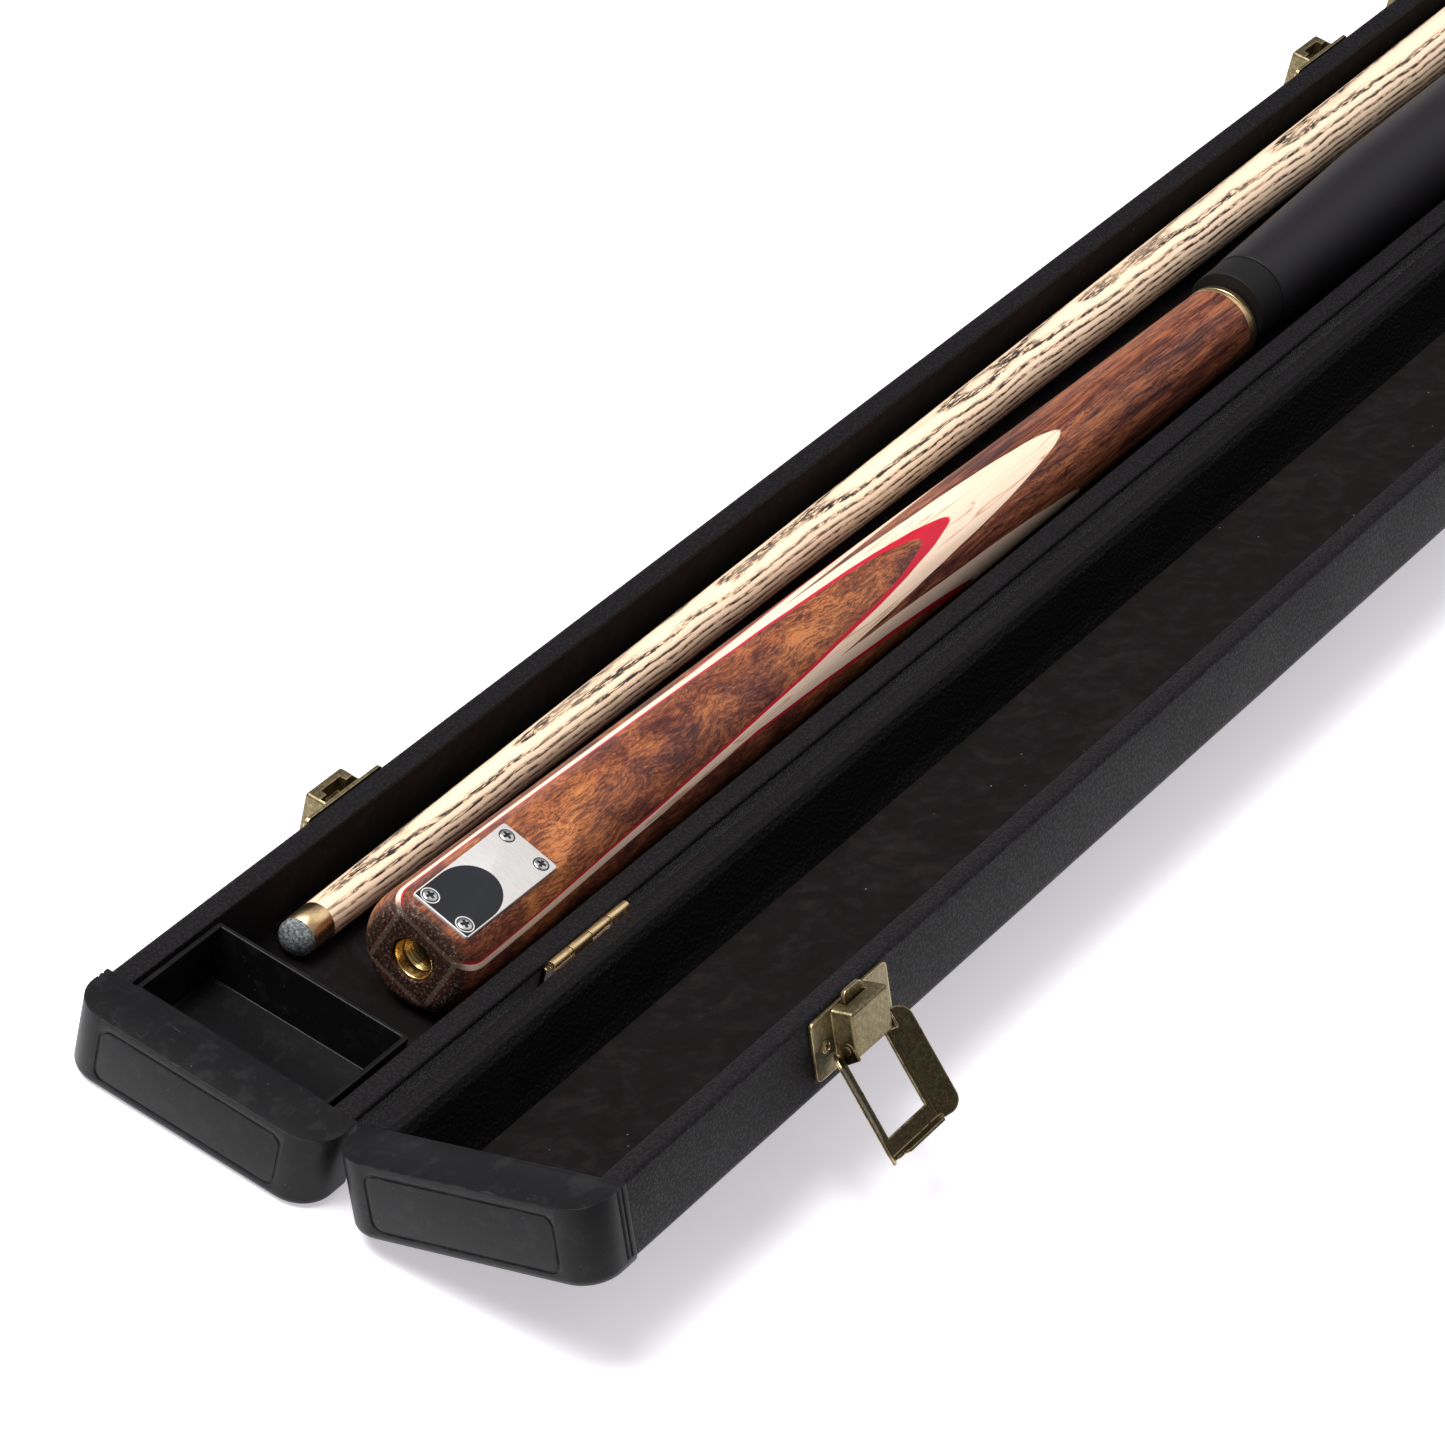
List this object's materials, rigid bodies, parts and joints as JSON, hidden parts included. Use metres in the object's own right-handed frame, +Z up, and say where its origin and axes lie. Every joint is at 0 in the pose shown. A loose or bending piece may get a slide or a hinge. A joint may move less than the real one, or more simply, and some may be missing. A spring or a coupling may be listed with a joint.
{
  "type": "cue case",
  "caption": "Long hinged hard case for a jointed cue, shown open, with latches, end caps, an accessory box, and the two-piece cue and extension lying inside.",
  "frame": {"origin": "centre of the base tray's underside", "axes": "+Y along the case from the near end to the far end, +Z up, +X across from the base tray to the lid"},
  "size_m": [0.1845, 1.152, 0.0476],
  "materials": {
    "aged_brass": "antique, worn bright on the edges",
    "ash": "varnished ash with dark arrow grain",
    "badge_steel": "brushed",
    "box_plastic": "satin black moulding",
    "bright_brass": "polished",
    "cap_plastic": "satin black moulding with light scuffs",
    "case_wood": "plain softwood and plywood",
    "collar_black": "satin black",
    "leatherette": "pebble grain, semi-matt black",
    "rosewood": "varnished rosewood with spliced panels",
    "strap_leather": "stitched black strap",
    "suede": "brown-black suede cloth",
    "tip_leather": "chalked",
    "tube_dark": "satin dark grey"
  },
  "bodies": {
    "base": {"accessory_box": "box_plastic", "base_covering": "leatherette", "base_far_block": "case_wood", "base_far_cap": "cap_plastic", "base_floor_board": "case_wood", "base_floor_liner": "suede", "base_front_liner": "suede", "base_front_rail": "case_wood", "base_hinge_liner": "suede", "base_hinge_rail": "case_wood", "base_near_block": "case_wood", "base_near_cap": "cap_plastic", "handle_brackets": "aged_brass", "handle_strap": "strap_leather", "hinge_base_leaf_far": "bright_brass", "hinge_base_leaf_middle": "bright_brass", "hinge_base_leaf_near": "bright_brass", "hinge_base_screws": "bright_brass", "hinge_pins": "bright_brass", "keeper_far": "aged_brass", "keeper_middle": "aged_brass", "keeper_near": "aged_brass", "keeper_screws": "aged_brass"},
    "lid": {"hinge_lid_leaf_far": "bright_brass", "hinge_lid_leaf_middle": "bright_brass", "hinge_lid_leaf_near": "bright_brass", "hinge_lid_screws": "bright_brass", "latch_far": "aged_brass", "latch_middle": "aged_brass", "latch_near": "aged_brass", "latch_pins": "aged_brass", "latch_screws": "aged_brass", "lid_covering": "leatherette", "lid_far_block": "case_wood", "lid_far_cap": "cap_plastic", "lid_floor_board": "case_wood", "lid_floor_liner": "suede", "lid_hinge_pad": "leatherette", "lid_hinge_rail": "case_wood", "lid_near_block": "case_wood", "lid_near_cap": "cap_plastic", "lid_outer_liner": "suede", "lid_outer_rail": "case_wood"},
    "bail_near": {"bail_near": "aged_brass"},
    "bail_middle": {"bail_middle": "aged_brass"},
    "bail_far": {"bail_far": "aged_brass"},
    "cue_shaft": {"shaft_ferrule": "bright_brass", "shaft_joint": "bright_brass", "shaft_tip": "tip_leather", "shaft_wood": "ash"},
    "cue_butt": {"badge_plate": "badge_steel", "badge_screws": "badge_steel", "butt_bush": "bright_brass", "butt_joint": "bright_brass", "butt_wood": "rosewood"},
    "extension": {"extension_cap": "collar_black", "extension_collar": "collar_black", "extension_tube": "tube_dark"}
  },
  "joints": [
    {"name": "lid_hinge", "type": "hinge", "parent": "base", "child": "lid", "pos_m": [0.03525, 0, 0.02], "axis": [0, 1, 0], "range_deg": [-157.8, 0]},
    {"name": "bail_near_swing", "type": "hinge", "parent": "lid", "child": "bail_near", "pos_m": [0.10737, -0.474, 0.03755], "axis": [0, 1, 0], "range_deg": [-154, 6]},
    {"name": "bail_middle_swing", "type": "hinge", "parent": "lid", "child": "bail_middle", "pos_m": [0.10737, 0, 0.03755], "axis": [0, 1, 0], "range_deg": [-154, 6]},
    {"name": "bail_far_swing", "type": "hinge", "parent": "lid", "child": "bail_far", "pos_m": [0.10737, 0.474, 0.03755], "axis": [0, 1, 0], "range_deg": [-154, 6]},
    {"name": "cue_shaft_lift", "type": "slide", "parent": "base", "child": "cue_shaft", "axis": [0, 0, 1], "range_m": [0, 0.1]},
    {"name": "cue_butt_lift", "type": "slide", "parent": "base", "child": "cue_butt", "axis": [0, 0, 1], "range_m": [0, 0.1]},
    {"name": "extension_lift", "type": "slide", "parent": "base", "child": "extension", "axis": [0, 0, 1], "range_m": [0, 0.1]}
  ]
}
